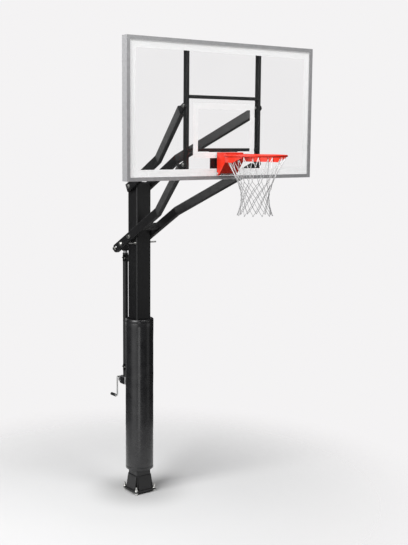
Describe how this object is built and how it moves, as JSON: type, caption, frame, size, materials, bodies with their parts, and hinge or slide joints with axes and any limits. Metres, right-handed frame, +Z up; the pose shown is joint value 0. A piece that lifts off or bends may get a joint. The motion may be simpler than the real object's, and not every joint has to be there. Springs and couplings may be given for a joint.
{
  "type": "basketball hoop",
  "caption": "Bolt-down basketball hoop: square pole, padded, with parallel arms, crank screw jack, glass backboard, tilting rim and net.",
  "frame": {"origin": "on the ground, on the axis of the pole, at the centre of the anchor stud pattern", "axes": "+X along the backboard, -Y towards the court, the way the rim points, +Z up the pole"},
  "size_m": [1.8288, 2.3832, 4.1588],
  "materials": {
    "powder_black": "fine-textured satin powder coat",
    "zinc": "zinc plated",
    "steel": "machined, oiled",
    "frame_aluminium": "clear anodised",
    "cast_aluminium": "bare casting",
    "tempered_glass": "clear",
    "print_white": "screen print",
    "black_rubber": "matte",
    "black_plastic": "moulded, glossy",
    "rim_red": "gloss powder coat",
    "net_white": "braided nylon cord",
    "pad_black": "coated cover over foam",
    "chrome": "polished",
    "bronze": "oiled"
  },
  "bodies": {
    "root": {"base_plate": "powder_black", "anchor_studs": "zinc", "anchor_nuts": "zinc", "foot_plates": "powder_black", "pole_tube": "powder_black", "pivot_sleeves": "steel", "pole_cap": "black_plastic", "pole_pad": "pad_black", "pivot_bolts": "zinc", "stop_rod": "zinc", "jack_brackets": "powder_black", "jack_u_bolts": "zinc", "jack_housing": "powder_black", "jack_guide_bush": "black_plastic", "gearbox_housing": "cast_aluminium", "gearbox_cover": "black_plastic", "gearbox_bearings": "bronze"},
    "lower_arms": {"lower_arm_left": "powder_black", "lower_arm_right": "powder_black", "lower_arm_bushes": "steel", "arm_cross_tubes": "powder_black", "rear_tie_bolt": "zinc"},
    "upper_arms": {"upper_arm_left": "powder_black", "upper_arm_right": "powder_black", "upper_arm_bushes": "steel", "upper_arm_plugs": "black_plastic"},
    "backboard": {"glass_panel": "tempered_glass", "glass_gasket": "black_rubber", "target_lines": "print_white", "frame_rail_top": "frame_aluminium", "frame_rail_bottom": "frame_aluminium", "frame_rail_left": "frame_aluminium", "frame_rail_right": "frame_aluminium", "frame_corner_keys": "cast_aluminium", "upright_left": "powder_black", "upright_right": "powder_black", "frame_screws": "zinc", "crossbars": "powder_black", "rim_mount_plate": "powder_black", "board_pivot_bolts": "zinc", "rim_gasket": "black_rubber", "rim_back_plate": "rim_red", "rim_bolts": "zinc", "rim_hinge_pin": "zinc"},
    "rim": {"rim_carrier": "rim_red", "rim_ring": "rim_red", "rim_brace": "rim_red", "net_hooks": "rim_red", "net": "net_white", "rim_springs": "steel"},
    "jack_rod": {"jack_rod": "steel", "screw_nut": "bronze", "rod_head": "powder_black", "cross_pin": "zinc"},
    "screw": {"lead_screw": "steel", "screw_gear": "steel"},
    "crank": {"crank_shaft": "steel", "crank_handle": "chrome"},
    "grip": {"crank_grip": "black_plastic"}
  },
  "joints": [
    {"name": "lift", "type": "hinge", "parent": "root", "child": "lower_arms", "pos_m": [0, 0, 2.4], "axis": [1, 0, 0], "range_deg": [0, 38]},
    {"name": "upper_lift", "type": "hinge", "parent": "root", "child": "upper_arms", "pos_m": [0, 0, 2.85], "axis": [1, 0, 0], "range_deg": [0, 38]},
    {"name": "board_level", "type": "hinge", "parent": "lower_arms", "child": "backboard", "pos_m": [0, -1.216, 3.08], "axis": [1, 0, 0], "range_deg": [-38, 0]},
    {"name": "rim_breakaway", "type": "hinge", "parent": "backboard", "child": "rim", "pos_m": [0, -1.278, 3.01], "axis": [1, 0, 0], "range_deg": [0, 30], "stiffness_Nm_per_rad": 300, "springref_deg": -28.65},
    {"name": "jack_slide", "type": "slide", "parent": "root", "child": "jack_rod", "axis": [0, 0, 1], "range_m": [-0.001, 0.173]},
    {"name": "screw_spin", "type": "hinge", "parent": "root", "child": "screw", "pos_m": [0, 0.24, 1.2], "axis": [0, 0, 1], "continuous": true},
    {"name": "crank_spin", "type": "hinge", "parent": "root", "child": "crank", "pos_m": [0, 0.3, 1.018], "axis": [0, 1, 0], "continuous": true},
    {"name": "grip_spin", "type": "hinge", "parent": "crank", "child": "grip", "pos_m": [0, 0.45, 0.822], "axis": [0, 1, 0], "continuous": true}
  ],
  "couplings": [
    {"joint": "upper_lift", "follows": "lift", "ratio": 1},
    {"joint": "board_level", "follows": "lift", "ratio": -1},
    {"joint": "jack_slide", "follows": "lift", "m_per_rad": 0.2583},
    {"joint": "screw_spin", "follows": "lift", "ratio": -319.48},
    {"joint": "crank_spin", "follows": "lift", "ratio": 319.48}
  ]
}
